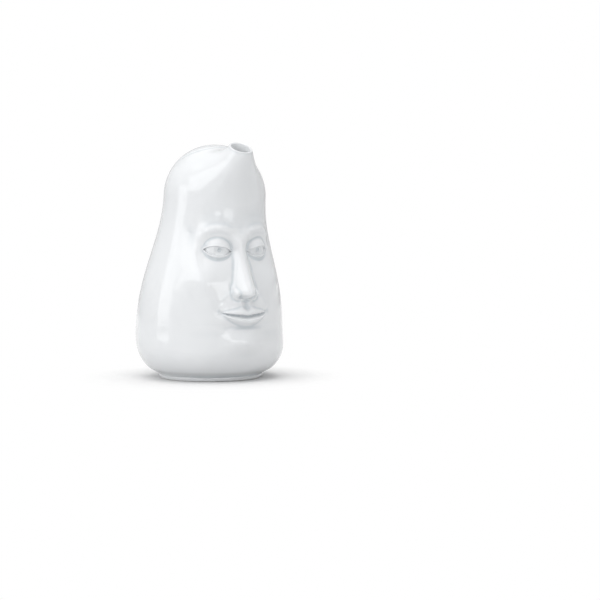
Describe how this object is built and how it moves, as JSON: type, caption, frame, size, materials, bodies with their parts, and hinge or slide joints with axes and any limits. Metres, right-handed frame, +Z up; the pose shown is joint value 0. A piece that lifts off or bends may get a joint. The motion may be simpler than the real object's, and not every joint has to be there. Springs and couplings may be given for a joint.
{
  "type": "face jug",
  "caption": "Leaning pear-shaped porcelain jug with a calm sculpted face, a pouring spout on the brow, a lift-off skull-cap lid and a strap handle.",
  "frame": {"origin": "centre of the foot ring, on the table", "axes": "+Z up, the face and the spout look along -Y, the handle is at +Y, +X is the face's own left"},
  "size_m": [0.138, 0.1824, 0.2177],
  "materials": {
    "white_glaze": "high-gloss clear glaze over white porcelain",
    "bare_porcelain": "glazed sides with a bare, polished standing ring"
  },
  "bodies": {
    "jug": {"body_shell": "white_glaze", "foot_ring": "bare_porcelain", "spout": "white_glaze", "lid_ledge": "white_glaze", "handle": "white_glaze", "nose": "white_glaze", "left_brow": "white_glaze", "right_brow": "white_glaze", "left_eyeball": "white_glaze", "right_eyeball": "white_glaze", "left_upper_eyelid": "white_glaze", "right_upper_eyelid": "white_glaze", "left_lower_eyelid": "white_glaze", "right_lower_eyelid": "white_glaze", "left_cheek": "white_glaze", "right_cheek": "white_glaze", "upper_lip": "white_glaze", "lower_lip": "white_glaze", "chin": "white_glaze"},
    "lid": {"lid": "white_glaze", "lid_ring": "white_glaze"}
  },
  "joints": [
    {"name": "lid_lift", "type": "slide", "parent": "jug", "child": "lid", "axis": [0, 0.4462, 0.8949], "range_m": [0, 0.06]}
  ]
}
